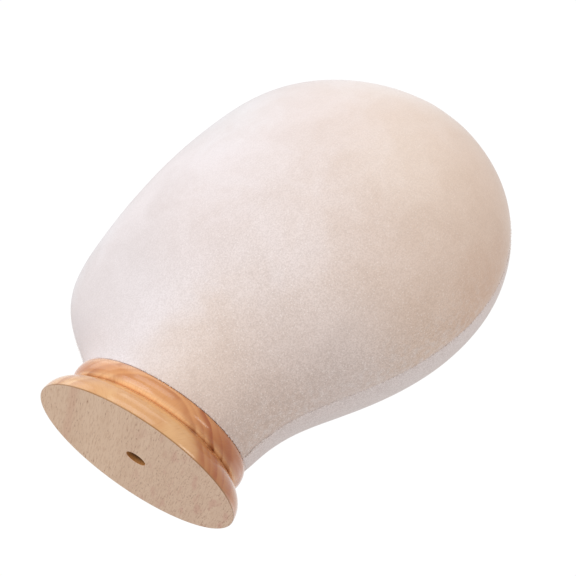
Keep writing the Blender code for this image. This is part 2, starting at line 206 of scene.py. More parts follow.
class Tree:
    """Short ways to add nodes to a material's tree, with the shader at its end."""

    def __init__(self, name, settings):
        self.material = bpy.data.materials.new(name)
        self.material.use_nodes = True
        self.nodes = self.material.node_tree.nodes
        self.links = self.material.node_tree.links
        self.shader = self.nodes["Principled BSDF"]
        for socket, value in settings.items():
            self.shader.inputs[socket].default_value = value
        self.place = self.add("ShaderNodeTexCoord").outputs["Object"]

    def add(self, kind, inputs=None, **properties):
        node = self.nodes.new(kind)
        for key, value in properties.items():
            setattr(node, key, value)
        for socket, value in (inputs or {}).items():
            self.put(node.inputs[socket], value)
        return node

    def put(self, socket, value):
        if isinstance(value, bpy.types.NodeSocket):
            self.links.new(value, socket)
        else:
            socket.default_value = value

    def math(self, operation, a, b=0.0, c=0.0):
        return self.add("ShaderNodeMath", {0: a, 1: b, 2: c}, operation=operation).outputs[0]

    def plus(self, a, b):
        return self.math("ADD", a, b)

    def minus(self, a, b):
        return self.math("SUBTRACT", a, b)

    def times(self, first, *others):
        for other in others:
            first = self.math("MULTIPLY", first, other)
        return first

    def length(self, a, b):
        """Length of the vector (a, b)."""
        return self.math("SQRT", self.plus(self.times(a, a), self.times(b, b)))

    def off(self, value, middle):
        """How far a value is from a middle one, to either side."""
        return self.math("ABSOLUTE", self.minus(value, middle))

    def swing(self, share, width):
        """Turn noise from 0 to 1 into a shift of up to half the width to either side."""
        return self.math("MULTIPLY_ADD", share, width, -width / 2)

    def split(self, vector):
        return self.add("ShaderNodeSeparateXYZ", {0: vector}).outputs

    def join(self, x, y, z):
        return self.add("ShaderNodeCombineXYZ", {0: x, 1: y, 2: z}).outputs[0]

    def mapped(self, vector, scale=(1, 1, 1), turn=(0, 0, 0), shift=(0, 0, 0)):
        node = self.add("ShaderNodeMapping", {"Vector": vector, "Scale": scale,
                                              "Rotation": turn, "Location": shift})
        return node.outputs[0]

    def stretched(self, vector, share):
        """Coordinates in which a pattern is drawn out along the first axis."""
        return self.mapped(vector, scale=(share, 1, 1))

    def noise(self, vector, size, detail=2.0, roughness=0.5, distortion=0.0):
        """Noise from 0 to 1 whose features are about size metres across."""
        node = self.add("ShaderNodeTexNoise", {
            "Vector": vector, "Scale": 1 / size, "Detail": detail,
            "Roughness": roughness, "Distortion": distortion})
        return node.outputs["Fac"]

    def cells(self, vector, size):
        """Distance from the middle of each cell, in cells about size metres across."""
        node = self.add("ShaderNodeTexVoronoi", {"Vector": vector, "Scale": 1 / size})
        return node.outputs["Distance"]

    def spread(self, value, low, high, to_low=0.0, to_high=1.0):
        """Map a range to another, smoothly and clamped."""
        node = self.add("ShaderNodeMapRange", {"Value": value, "From Min": low, "From Max": high,
                                               "To Min": to_low, "To Max": to_high},
                        interpolation_type="SMOOTHSTEP", clamp=True)
        return node.outputs["Result"]

    def blend(self, share, a, b, kind="MIX"):
        """Blend two colours; a and b are sockets or linear colours."""
        node = self.add("ShaderNodeMix", {"Factor": share}, data_type="RGBA", blend_type=kind)
        for socket, value in ((node.inputs[6], a), (node.inputs[7], b)):
            self.put(socket, value if isinstance(value, bpy.types.NodeSocket) else (*value, 1.0))
        return node.outputs[2]

    def multiplied(self, colour, tint):
        return self.blend(1.0, colour, tint, "MULTIPLY")

    def tinted(self, share, colour, tint):
        """Multiply the colour by a tint, in a share from 0 to 1."""
        return self.blend(share, colour, self.multiplied(colour, tint))

    def bump(self, height, distance, strength=1.0, under=None):
        inputs = {"Height": height, "Distance": distance, "Strength": strength}
        if under is not None:
            inputs["Normal"] = under
        return self.add("ShaderNodeBump", inputs).outputs[0]

    def finish(self, colour, normal=None, roughness=None):
        self.put(self.shader.inputs["Base Color"], colour)
        if normal is not None:
            self.put(self.shader.inputs["Normal"], normal)
        if roughness is not None:
            self.put(self.shader.inputs["Roughness"], roughness)
        return self.material


def linear(red, green, blue):
    """A colour given in display steps of 0 to 255, as the linear values that shaders take."""
    def one(step):
        level = step / 255
        return level / 12.92 if level <= 0.04045 else ((level + 0.055) / 1.055) ** 2.4
    return one(red), one(green), one(blue)


# Velvet materials

# Painted light and shade in broad soft patches, lighter where light falls and darker or warmer
# where shade falls: middle and reach along y and z in mm, and the tint
PAINTED_LIGHT_AND_SHADE = (
    ((10, 250), (80, 60), (1.06, 1.10, 1.12)),
    ((-68, 76), (52, 60), (0.92, 0.915, 0.91)),
    ((-84, 32), (34, 24), (1.02, 1.04, 1.07)),
    ((-104, 88), (26, 56), (1.03, 1.07, 1.09)),
    ((5, 40), (40, 70), (1.02, 0.97, 0.905)),
    ((78, 80), (45, 50), (1.0, 1.06, 1.14)),
    ((130, 166), (46, 74), (0.92, 0.79, 0.70)),
    ((124, 126), (28, 30), (0.93, 0.92, 0.92)),
    ((-30, 110), (50, 50), (0.96, 0.935, 0.915)),
    ((50, 190), (50, 50), (1.04, 1.06, 1.06)),
    ((-70, 190), (50, 50), (1.0, 1.04, 1.05)),
)


def paint_light_and_shade(tree, colour, y, height, nap):
    """Paint light and shade on the pile in a few broad soft patches."""
    sway = tree.swing(nap, 24 * MM)
    y, height = tree.plus(y, sway), tree.minus(height, sway)
    for (mid_y, mid_height), (reach_y, reach_up), tint in PAINTED_LIGHT_AND_SHADE:
        a = tree.math("DIVIDE", tree.minus(y, mid_y * MM), reach_y * MM)
        b = tree.math("DIVIDE", tree.minus(height, mid_height * MM), reach_up * MM)
        near = tree.spread(tree.length(a, b), 0.1, 1.0, 1.0, 0.0)
        colour = tree.tinted(near, colour, tint)
    return colour


def velvet_tones_and_painted_light(tree, y, height, nap):
    """The pile's broad tones with painted light and shade: paler and cooler over the face, warmer
    over the back, painted shade low at the nape.
    """
    # Painted light and shade: a ramp that is paler and cooler towards the lit face and warmer
    # towards the shaded back
    depth = tree.plus(tree.math("MULTIPLY_ADD", height, 0.35, -52 * MM), y)
    depth = tree.plus(depth, tree.swing(nap, 60 * MM))
    colour = tree.blend(tree.spread(depth, -75 * MM, 115 * MM),
                        linear(232, 225, 227), linear(225, 205, 191))
    brushed = tree.times(tree.spread(nap, 0.35, 0.7),
                         tree.spread(height, 150 * MM, 240 * MM, 1.0, 0.45))
    colour = tree.tinted(brushed, colour, (0.955, 0.95, 0.945))
    # Painted shade: darker and warmer low at the nape, on the shaded underside of the back of the
    # head
    nape_shade = tree.times(tree.spread(height, 30 * MM, 110 * MM, 1.0, 0.0),
                      tree.spread(y, -40 * MM, 30 * MM))
    colour = tree.tinted(nape_shade, colour, (0.90, 0.86, 0.82))
    return paint_light_and_shade(tree, colour, y, height, nap)


def paint_seam_light(tree, colour, away, height, behind, nap):
    """A patch of painted light low beside the seam, standing in for light from below and sheen."""
    sway = tree.swing(nap, 40 * MM)
    share = tree.times(tree.spread(tree.plus(height, sway), 150 * MM, 250 * MM, 1.0, 0.0),
                       tree.spread(tree.plus(away, sway), 8 * MM, 65 * MM, 1.0, 0.0), behind)
    return tree.blend(share, colour, linear(230, 223, 225))


def seam_specks(tree, colour, away, height, behind):
    """Pale specks where the pile is ruffled beside the seam."""
    specks = tree.noise(tree.place, 3.6 * MM, detail=4.0, roughness=0.7)
    share = tree.times(tree.spread(specks, 0.40, 0.72),
                       tree.spread(away, 4 * MM, 38 * MM, 0.55, 0.0),
                       tree.spread(height, 130 * MM, 190 * MM, 1.0, 0.3), behind)
    return tree.blend(share, colour, linear(236, 232, 234))


def pile_grain(tree, colour, grain, away, y, height, behind):
    """Dim pits and painted glints on fibre ends, rougher low down and beside the seam."""
    rough = tree.times(tree.spread(height, 70 * MM, 230 * MM, 1.0, 0.4),
                       tree.spread(y, -90 * MM, 40 * MM, 0.4, 1.0))
    ruffled = tree.times(tree.spread(away, 6 * MM, 46 * MM, 0.6, 0.0), behind,
                         tree.spread(height, 130 * MM, 180 * MM, 1.0, 0.0))
    rough = tree.times(rough, tree.plus(ruffled, 1.0))
    colour = tree.blend(rough, tree.multiplied(colour, (0.94, 0.93, 0.92)), colour)
    pits = tree.times(tree.spread(grain, 0.36, 0.62, 0.85, 0.0), rough)
    colour = tree.tinted(pits, colour, (0.84, 0.83, 0.82))
    # Painted glints: pale specks where single fibres would catch light
    fibre_glints = tree.spread(tree.cells(tree.place, 1.5 * MM), 0.05, 0.30, 0.45, 0.0)
    return tree.blend(tree.times(fibre_glints, rough), colour, (0.97, 0.93, 0.92))


def velvet_material(name, seam_light):
    """Short cut pile: fine grain, soft nap patches, broad painted light and shade, and painted
    glints on single fibres.

    One half gets painted light low beside the seam, where it looks paler.
    """
    tree = Tree(name, {"Roughness": 0.8, "Specular IOR Level": 0.15, "Sheen Weight": 0.6,
                       "Sheen Roughness": 0.32, "Sheen Tint": (0.90, 0.95, 1.0, 1.0)})
    x, y, height = tree.split(tree.place)[:3]
    nap = tree.noise(tree.place, 26 * MM, detail=3.0, roughness=0.6, distortion=0.6)
    away = tree.math("ABSOLUTE", x)
    behind = tree.spread(y, 0.0, 40 * MM)
    colour = velvet_tones_and_painted_light(tree, y, height, nap)
    # Painted light: one half is paler low beside the seam
    if seam_light:
        colour = paint_seam_light(tree, colour, away, height, behind, nap)
    colour = seam_specks(tree, colour, away, height, behind)
    fine = tree.noise(tree.place, 0.85 * MM, detail=1.0, roughness=0.7)
    clumps = tree.noise(tree.place, 3.0 * MM, detail=2.0)
    grain = tree.plus(tree.times(fine, 0.8), tree.times(clumps, 0.2))
    colour = pile_grain(tree, colour, grain, away, y, height, behind)
    normal = tree.bump(grain, 0.30 * MM, strength=0.5)
    normal = tree.bump(nap, 0.5 * MM, strength=0.25, under=normal)
    return tree.finish(colour, normal)


def pile_tip_material():
    """Loose fibre ends, paler than the pile they stand in: partly their own tone, partly painted
    light shining through the thin fibres.
    """
    tree = Tree("pile_tips", {"Roughness": 0.8, "Specular IOR Level": 0.15,
                              "Sheen Weight": 0.8, "Sheen Roughness": 0.3})
    tone = tree.noise(tree.place, 1.6 * MM, detail=1.0)
    # Partly painted light: the palest tips stand in for light through thin fibres
    return tree.finish(tree.blend(tree.spread(tone, 0.35, 0.6),
                                  linear(232, 222, 218), linear(253, 250, 249)))


# Wood materials

GRAIN_TURN = math.radians(20.0)
PITH_ACROSS = -5.4 * MM
PITH_HEIGHT = -21 * MM
# Dark late-wood lines: distance from the pith, width and strength
LATE_WOOD = (
    (45.0 * MM, 2.3 * MM, 0.70),
    (52.6 * MM, 1.7 * MM, 1.00),
    (48.6 * MM, 1.0 * MM, 0.45),
    (57.2 * MM, 1.0 * MM, 0.60),
    (62.0 * MM, 2.6 * MM, 0.60),
)
# Height of the painted light that offsets the shade in the groove
GROOVE_LIGHT_HEIGHT = 15.4 * MM
GROOVE_WALL_HEIGHT = 14.75 * MM


def grain_place(tree):
    """Coordinates along the grain, across it and up, from the base's own axis."""
    shift = (-AXIS_Y * math.sin(GRAIN_TURN), -AXIS_Y * math.cos(GRAIN_TURN), 0)
    return tree.mapped(tree.place, turn=(0, 0, -GRAIN_TURN), shift=shift)


def from_pith(tree, place):
    """Distance from the pith below the base, and the angle about it."""
    across, height = tree.split(place)[1:3]
    a, h = tree.minus(across, PITH_ACROSS), tree.minus(height, PITH_HEIGHT)
    return tree.length(a, h), tree.math("ARCTAN2", a, h)


def growth_rings(tree, place):
    """Late wood as dark lines round the pith, soft on their inner side; darker on one side."""
    reach, turn = from_pith(tree, place)
    slow = tree.stretched(place, 0.2)
    reach = tree.plus(reach, tree.swing(tree.noise(slow, 14 * MM, detail=3.0), 4 * MM))
    total = 0.0
    for radius, width, strength in LATE_WOOD:
        rise = tree.spread(reach, radius - 2.2 * width, radius, 0.0, strength)
        fall = tree.spread(reach, radius, radius + 0.5 * width, 1.0, 0.0)
        total = tree.math("MAXIMUM", total, tree.times(rise, fall))
    patchy = tree.spread(tree.noise(slow, 9 * MM, detail=1.0), 0.3, 0.6, 0.5, 1.0)
    return tree.times(total, patchy, tree.spread(turn, -0.3, 0.5, 0.6, 1.0))


def rays(tree, place):
    """Fine streaks that run out from the pith in the end grain."""
    reach, turn = from_pith(tree, place)
    along = tree.split(place)[0]
    fan = tree.join(tree.times(turn, 55 * MM), tree.times(reach, 0.09), tree.times(along, 0.12))
    return tree.noise(fan, 0.7 * MM, detail=2.0, roughness=0.6)


def fibres(tree, place, width, length):
    """Fine streaks along the grain."""
    return tree.noise(tree.stretched(place, width / length), width, detail=3.0, roughness=0.65)


def side_tones(tree, colour, reach, turn, height):
    """Redder wood on the bead, and a darker side far from the pith: partly darker wood, partly
    painted shade.
    """
    bead = tree.spread(height, 15 * MM, 18 * MM, 0.0, 0.45)
    colour = tree.blend(bead, colour, linear(204, 118, 48))
    # The darker side is partly darker wood and partly shade painted onto it
    strength = tree.math("MAXIMUM", tree.spread(height, 13 * MM, 15 * MM, 0.75, 0.45),
                         tree.spread(height, 15.5 * MM, 19 * MM, 0.45, 0.95))
    dark = tree.times(tree.spread(turn, 0.35, 0.9), tree.spread(reach, 34 * MM, 50 * MM), strength)
    return tree.blend(dark, colour, linear(172, 98, 40))


def groove_light_and_shade(tree, colour, turn, height, wall):
    """Painted light in and beside the groove against the shade there, and a thin line of painted
    shade on its wall.
    """
    beside = tree.off(height, GROOVE_LIGHT_HEIGHT)
    groove_light = tree.times(tree.spread(beside, 0.6 * MM, 3.2 * MM, 0.85, 0.0),
                      tree.spread(turn, 0.0, 0.8, 1.0, 0.3),
                      tree.spread(turn, -0.8, -0.5, 0.2, 1.0))
    colour = tree.blend(groove_light, colour, linear(246, 200, 150))
    groove_light_core = tree.spread(beside, 0.4 * MM, 1.3 * MM, 0.8, 0.0)
    colour = tree.blend(groove_light_core, colour, linear(255, 214, 164))
    # Painted shade: a thin darker line where the flange hides the bead
    wall_shade = tree.spread(wall, 0.25 * MM, 0.5 * MM, 0.75, 0.0)
    return tree.blend(wall_shade, colour, linear(214, 156, 102))


def end_tones(tree, colour, turn, height):
    """A darker bead, and a painted highlight on the top edge, on the side turned away from the
    dark one.
    """
    bead = tree.times(tree.spread(turn, -0.85, -0.6, 0.8, 0.0),
                      tree.spread(height, 15 * MM, 18 * MM),
                      tree.spread(height, 21 * MM, 24 * MM, 1.0, 0.0))
    colour = tree.blend(bead, colour, linear(190, 124, 78))
    # Painted highlight: a pale pinkish band standing in for a lamp's reflection in the lacquer
    top = tree.times(tree.spread(height, 21 * MM, 25 * MM),
                     tree.spread(turn, -0.5, -0.15, 0.7, 0.0))
    return tree.blend(top, colour, linear(236, 194, 160))


def lacquered_material():
    """Clear gloss lacquer over orange-brown wood with a few dark late-wood lines."""
    tree = Tree("lacquered_side", {"Roughness": 0.5, "Specular IOR Level": 0.1,
                                   "Coat Roughness": 0.14, "Coat IOR": 1.5})
    place = grain_place(tree)
    reach, turn = from_pith(tree, place)
    height = tree.split(place)[2]
    wall = tree.off(height, GROOVE_WALL_HEIGHT)
    patches = tree.noise(tree.stretched(place, 0.35), 13 * MM, detail=2.0)
    colour = tree.blend(tree.spread(patches, 0.3, 0.7),
                        linear(221, 175, 123), linear(210, 157, 105))
    colour = side_tones(tree, colour, reach, turn, height)
    colour = groove_light_and_shade(tree, colour, turn, height, wall)
    colour = end_tones(tree, colour, turn, height)
    late = tree.times(growth_rings(tree, place), 0.9)
    colour = tree.blend(late, colour, linear(160, 78, 26))
    streaks = rays(tree, place)
    colour = tree.blend(tree.spread(streaks, 0.45, 0.75, 0.0, 0.28), colour, linear(182, 120, 70))
    foot = tree.spread(height, 0.35 * MM, 0.9 * MM, 0.8, 0.0)
    colour = tree.blend(foot, colour, linear(150, 104, 52))
    tree.put(tree.shader.inputs["Coat Weight"], tree.spread(wall, 0.3 * MM, 0.8 * MM, 0.2, 1.0))
    return tree.finish(colour, tree.bump(streaks, 0.04 * MM, strength=0.2))


def raw_material():
    """Sanded raw wood of the underside: pores as fine dashes, denser on one side."""
    tree = Tree("raw_underside", {"Roughness": 0.85, "Specular IOR Level": 0.2})
    place = grain_place(tree)
    across = tree.split(place)[1]
    crowd = tree.spread(across, -25 * MM, 35 * MM)
    streaks = fibres(tree, place, 0.9 * MM, 14 * MM)
    bands = tree.noise(tree.stretched(place, 0.08), 11 * MM, detail=2.0)
    colour = tree.blend(tree.spread(bands, 0.35, 0.65),
                        linear(228, 203, 180), linear(223, 197, 174))
    colour = tree.blend(tree.spread(streaks, 0.45, 0.68, 0.0, 0.75), colour, linear(206, 175, 150))
    red_streak = tree.spread(tree.off(across, -42 * MM), 0.5 * MM, 4 * MM, 0.4, 0.0)
    colour = tree.blend(red_streak, colour, linear(208, 168, 147))
    colour = tree.blend(tree.times(crowd, 0.25), colour, linear(208, 184, 170))
    blush = tree.noise(tree.stretched(place, 0.22), 6 * MM, detail=2.0)
    blush = tree.times(tree.spread(blush, 0.52, 0.68), crowd, 0.6)
    colour = tree.blend(blush, colour, linear(206, 166, 150))
    dashes = tree.noise(tree.stretched(place, 0.11), 0.85 * MM, detail=2.0)
    dashes = tree.times(tree.spread(dashes, 0.57, 0.74), 0.75)
    dots = tree.noise(tree.stretched(place, 0.4), 1.1 * MM, detail=1.0)
    dots = tree.times(tree.spread(dots, 0.58, 0.72), crowd, 0.6)
    patches = tree.spread(tree.noise(tree.stretched(place, 0.2), 9 * MM), 0.36, 0.6, 0.45, 1.0)
    pores = tree.times(tree.math("MAXIMUM", dashes, dots), patches)
    colour = tree.blend(pores, colour, linear(154, 116, 97))
    normal = tree.bump(streaks, 0.06 * MM, strength=0.3)
    normal = tree.bump(tree.minus(1.0, pores), 0.15 * MM, strength=0.4, under=normal)
    return tree.finish(colour, normal)


def bore_material():
    """Drilled wall of the screw hole, with painted shade deeper in the hole."""
    tree = Tree("drilled_wall", {"Roughness": 0.75, "Specular IOR Level": 0.3})
    place = grain_place(tree)
    streaks = fibres(tree, place, 0.5 * MM, 5 * MM)
    colour = tree.blend(growth_rings(tree, place), linear(190, 132, 74), linear(158, 100, 50))
    colour = tree.blend(tree.spread(streaks, 0.45, 0.75, 0.0, 0.7), colour, linear(140, 88, 46))
    depth = tree.split(tree.place)[2]
    # Painted shade: the wall darkens with depth, where the hole lies in shadow
    dark = tree.spread(depth, 1 * MM, 3.8 * MM, 0.0, 0.85)
    colour = tree.blend(dark, colour, linear(66, 42, 22))
    drill_marks = tree.math("SINE", tree.times(depth, math.tau / (0.6 * MM)))
    return tree.finish(colour, tree.bump(drill_marks, 0.03 * MM, strength=0.5))


def plywood_material():
    """Bare birch plywood, its plies showing round the rim."""
    tree = Tree("birch_plywood", {"Roughness": 0.7})
    ply = tree.math("PINGPONG", tree.split(tree.place)[2], 1.5 * MM)
    streaks = fibres(tree, tree.place, 0.6 * MM, 12 * MM)
    colour = tree.blend(tree.spread(ply, 0.6 * MM, 0.9 * MM),
                        linear(222, 196, 156), linear(186, 148, 104))
    colour = tree.blend(tree.spread(streaks, 0.4, 0.8, 0.0, 0.5), colour, linear(170, 130, 88))
    return tree.finish(colour, tree.bump(streaks, 0.06 * MM, strength=0.4))


# Foam and steel materials

def foam_material():
    """Rigid foam, off-white with small open cells."""
    tree = Tree("rigid_foam", {"Roughness": 0.9, "Specular IOR Level": 0.2})
    cells = tree.cells(tree.place, 1.1 * MM)
    tone = tree.noise(tree.place, 15 * MM, detail=3.0)
    colour = tree.blend(tone, linear(236, 234, 226), linear(246, 244, 240))
    colour = tree.blend(tree.spread(cells, 0.0, 0.35, 0.35, 0.0), colour, linear(205, 200, 188))
    return tree.finish(colour, tree.bump(cells, 0.25 * MM, strength=0.6))


def steel_material():
    """Zinc plate with a faint spangle and fine scratches."""
    tree = Tree("zinc_plate", {"Metallic": 1.0})
    spangle = tree.noise(tree.place, 2.2 * MM, detail=4.0, roughness=0.6)
    scratches = fibres(tree, tree.place, 0.12 * MM, 2.5 * MM)
    colour = tree.blend(spangle, linear(178, 180, 182), linear(212, 212, 206))
    roughness = tree.spread(spangle, 0.3, 0.7, 0.25, 0.42)
    return tree.finish(colour, tree.bump(scratches, 0.01 * MM, strength=0.4), roughness)


# Turned base

def add_piece(name, mesh, materials):
    """A new object of a mesh and its materials, linked to the scene."""
    piece = bpy.data.objects.new(name, mesh)
    bpy.context.scene.collection.objects.link(piece)
    for material in materials:
        mesh.materials.append(material)
    return piece


def ellipse_arc(centre, radii, start, end, count):
    """Points along an ellipse in the (radius, height) plane, angles in degrees."""
    points = []
    for i in range(count + 1):
        angle = math.radians(start + (end - start) * i / count)
        points.append((centre[0] + radii[0] * math.cos(angle),
                       centre[1] + radii[1] * math.sin(angle)))
    return points


LACQUER, RAW, BORE = range(3)


def base_profile():
    """The base's closed section as (radius, height, material of the face that follows)."""
    bead_low = BEAD_WIDEST_HEIGHT - GROOVE_HEIGHT
    bead_high = BASE_HEIGHT - BEAD_WIDEST_HEIGHT
    side = ellipse_arc((BASE_TOP_RADIUS, BEAD_WIDEST_HEIGHT),
                       (BEAD_RADIUS - BASE_TOP_RADIUS, bead_high), 90, 0, BEAD_TOP_STEPS)
    side += ellipse_arc((GROOVE_RADIUS, BEAD_WIDEST_HEIGHT),
                        (BEAD_RADIUS - GROOVE_RADIUS, bead_low), 0, -90, BEAD_LOW_STEPS)[1:]
    flange_centre = BASE_RADIUS - FLANGE_REACH
    groove_angle = math.degrees(math.acos((GROOVE_RADIUS - flange_centre) / FLANGE_REACH))
    side += ellipse_arc((flange_centre, FOOT_HEIGHT),
                        (FLANGE_REACH, FLANGE_CREST_HEIGHT - FOOT_HEIGHT),
                        groove_angle, 0, FLANGE_STEPS)
    foot_inner = BASE_RADIUS - FOOT_ROUND
    side += ellipse_arc((foot_inner, FOOT_ROUND), (FOOT_ROUND, FOOT_ROUND), 0, -90, FOOT_STEPS)
    points = [(radius, height, LACQUER) for radius, height in side]
    points[-1] = (*points[-1][:2], RAW)
    inner = COUNTERBORE_RADIUS + HOLE_CHAMFER
    for i in range(1, UNDERSIDE_RINGS + 1):
        share = i / UNDERSIDE_RINGS
        points.append((foot_inner + (inner - foot_inner) * share, 0.0, RAW))
    points[-1] = (*points[-1][:2], BORE)
    points += [(COUNTERBORE_RADIUS, HOLE_CHAMFER, BORE), (COUNTERBORE_RADIUS, HOLE_ROOF, BORE),
               (SCREW_HOLE_RADIUS, HOLE_ROOF, BORE), (SCREW_HOLE_RADIUS, BASE_HEIGHT, LACQUER)]
    return points


def lathe(name, profile, steps, materials):
    """Spin a closed section about the base's axis into one closed mesh."""
    bm = bmesh.new()
    columns = []
    for step in range(steps):
        angle = math.tau * step / steps
        turn = (math.cos(angle), math.sin(angle))
        columns.append([bm.verts.new((radius * turn[0], AXIS_Y + radius * turn[1], height))
                        for radius, height, _ in profile])
    count = len(profile)
    for step in range(steps):
        here, there = columns[step], columns[(step + 1) % steps]
        for i in range(count):
            j = (i + 1) % count
            face = bm.faces.new((here[i], here[j], there[j], there[i]))
            face.material_index = profile[i][2]
            face.smooth = True
    bmesh.ops.recalc_face_normals(bm, faces=bm.faces)
    mesh = bpy.data.meshes.new(name)
    bm.to_mesh(mesh)
    bm.free()
    mesh.set_sharp_from_angle(angle=SHARP_ANGLE)
    return add_piece(name, mesh, materials)


# Velvet cover

def ring_points(height, front, back, half_width):
    """One cage ring, an oval wider behind its middle, from the face round to the back."""
    centre = (back - front) / 2 + SECTION_SHIFT * (front + back)
    points = []
    for i in range(CAGE_SIDES):
        angle = math.tau * i / CAGE_SIDES
        reach = (front + centre) if math.cos(angle) > 0 else (back - centre)
        points.append((CAGE_SWELL * half_width * math.sin(angle),
                       AXIS_Y + centre - CAGE_SWELL * reach * math.cos(angle), height))
    return points


def round_ring(height, radius):
    """One round cage ring about the neck's axis."""
    reach = CAGE_SWELL * radius
    angles = (math.tau * i / CAGE_SIDES for i in range(CAGE_SIDES))
    return [(reach * math.sin(angle), AXIS_Y - reach * math.cos(angle), height)
            for angle in angles]


def head_skin():
    """The head's fine outer skin as a bmesh, open inside the turned-in hem."""
    rings = [round_ring(NECK_BOTTOM, HEM_INNER_RADIUS), round_ring(NECK_BOTTOM, NECK_RADIUS)]
    for height, *reaches in HEAD_RINGS:
        front, back, half_width = (reach * MM for reach in reaches)
        rings.append(ring_points(NECK_BOTTOM + height * MM, front, back, half_width))
    bm = bmesh.new()
    loops = [[bm.verts.new(point) for point in ring] for ring in rings]
    crown = bm.verts.new((0.0, AXIS_Y + CROWN_SETBACK, NECK_BOTTOM + CROWN_HEIGHT))
    for lower, upper in zip(loops, loops[1:]):
        for i in range(CAGE_SIDES):
            j = (i + 1) % CAGE_SIDES
            bm.faces.new((lower[i], lower[j], upper[j], upper[i]))
    for i in range(CAGE_SIDES):
        bm.faces.new((loops[-1][i], loops[-1][(i + 1) % CAGE_SIDES], crown))
    crease = bm.edges.layers.float.new("crease_edge")
    for a, b in zip(loops[1], loops[1][1:] + loops[1][:1]):
        bm.edges.get((a, b))[crease] = 1.0
    mesh = bpy.data.meshes.new("head_cage")
    bm.to_mesh(mesh)
    bm.free()
    cage = add_piece("head_cage", mesh, [])
    smooth = cage.modifiers.new("smooth", "SUBSURF")
    smooth.levels = HEAD_LEVELS
    smooth.render_levels = HEAD_LEVELS
    evaluated = cage.evaluated_get(bpy.context.evaluated_depsgraph_get())
    fine = bmesh.new()
    fine.from_mesh(evaluated.to_mesh())
    evaluated.to_mesh_clear()
    bpy.data.objects.remove(cage, do_unlink=True)
    return fine


def slice_at(bm, place, normal, clear=False):
    """Cut an edge loop along a plane, and clear what lies on its inner side if asked."""
    everything = bm.verts[:] + bm.edges[:] + bm.faces[:]
    bmesh.ops.bisect_plane(bm, geom=everything, plane_co=place, plane_no=normal,
                           dist=1e-7, clear_inner=clear)


def seam_drop(point, side):
    """How far the velvet sinks along its normal near the seam, at a point of the skin."""
    away = abs(point.x) - SEAM_GAP / 2
    along = Vector((PUCKER_ROW * side, point.y / PUCKER_LENGTH, point.z / PUCKER_LENGTH))
    pucker = noise.noise(along)
    slow = noise.noise(along * SLOW_CHANGE)
    depth = SEAM_ROLL_DEPTH * (1 + ROLL_SLOW_SHARE * slow + ROLL_FINE_SHARE * pucker)
    share = min(max(away / SEAM_ROLL_WIDTH, 0.0), 1.0)
    roll = depth * (1 - math.sqrt(1 - (1 - share) ** 2))
    valley = SEAM_VALLEY_DEPTH * math.exp(-(away / SEAM_VALLEY_WIDTH) ** 2)
    tucks = PUCKER_DEPTH * pucker * math.exp(-(away / PUCKER_REACH) ** 2)
    return roll + valley + tucks


def skin_moves(bm, side):
    """Each vertex's move: the seam and hem pressed in, and the padding's slow waves."""
    bm.normal_update()
    moves = []
    for vert in bm.verts:
        height = vert.co.z - NECK_BOTTOM
        lift = min(max(height / RIM_HEIGHT, 0.0), 1.0)
        wave = noise.noise(vert.co / PAD_WAVE) * PAD_DEPTH * lift
        seam_share = RIM_SEAM_SHARE + (1 - RIM_SEAM_SHARE) * lift
        move = vert.normal * (wave - seam_drop(vert.co, side) * seam_share)
        if height < HEM_ROLL:
            outward = Vector((vert.co.x, vert.co.y - AXIS_Y, 0))
            if outward.length > NECK_RADIUS - HEM_BAND:
                rise = HEM_ROLL - height
                tuck = HEM_ROLL - math.sqrt(max(HEM_ROLL ** 2 - rise ** 2, 0.0))
                move = move * HEM_GIVE - outward.normalized() * tuck * HEM_TUCK
        if height < HEM_LEVEL:
            move.z = 0.0
        moves.append(move)
    return moves


def velvet_half(name, side, skin, material):
    """One closed half of the cover, its pile side outside and its backing inside that."""
    bm = skin.copy()
    inward = Vector((side, 0, 0))
    slice_at(bm, (side * SEAM_GAP / 2, 0, 0), inward, clear=True)
    for offset in SEAM_LOOPS:
        slice_at(bm, (side * (SEAM_GAP / 2 + offset * MM), 0, 0), inward)
    for height in HEM_LOOPS:
        slice_at(bm, (0, 0, NECK_BOTTOM + height * MM), (0, 0, 1))
    bmesh.ops.recalc_face_normals(bm, faces=bm.faces)
    if sum(f.normal.dot(f.calc_center_median() - HEAD_MIDDLE) for f in bm.faces) < 0:
        bmesh.ops.reverse_faces(bm, faces=bm.faces)
    moves = skin_moves(bm, side)
    outer = bm.verts[:]
    inner = [bm.verts.new(v.co - v.normal * CLOTH_THICKNESS) for v in outer]
    bm.verts.index_update()
    partner = dict(zip(outer, inner))
    rim = [e for e in bm.edges if e.is_boundary]
    for face in bm.faces[:]:
        bm.faces.new([partner[v] for v in reversed(face.verts)])
    for edge in rim:
        loop = edge.link_loops[0]
        a, b = loop.vert, loop.link_loop_next.vert
        bm.faces.new((b, a, partner[a], partner[b]))
    for vert, move in zip(outer, moves):
        vert.co += move
    for face in bm.faces:
        face.smooth = True
    mesh = bpy.data.meshes.new(name)
    bm.to_mesh(mesh)
    bm.free()
    return add_piece(name, mesh, [material])


# Loose pile where the velvet ends or is stitched

def spike(bm, root, direction, radius, length):
    """One thin three-sided fibre bundle, tapered to a point."""
    side = direction.orthogonal().normalized()
    other = direction.cross(side)
    ring = []
    for i in range(3):
        angle = math.tau * i / 3
        outward = side * math.cos(angle) + other * math.sin(angle)
        ring.append(bm.verts.new(root + outward * radius))
    tip = bm.verts.new(root + direction * length)
    bm.faces.new(list(reversed(ring)))
    for i in range(3):
        bm.faces.new((ring[i], ring[(i + 1) % 3], tip))


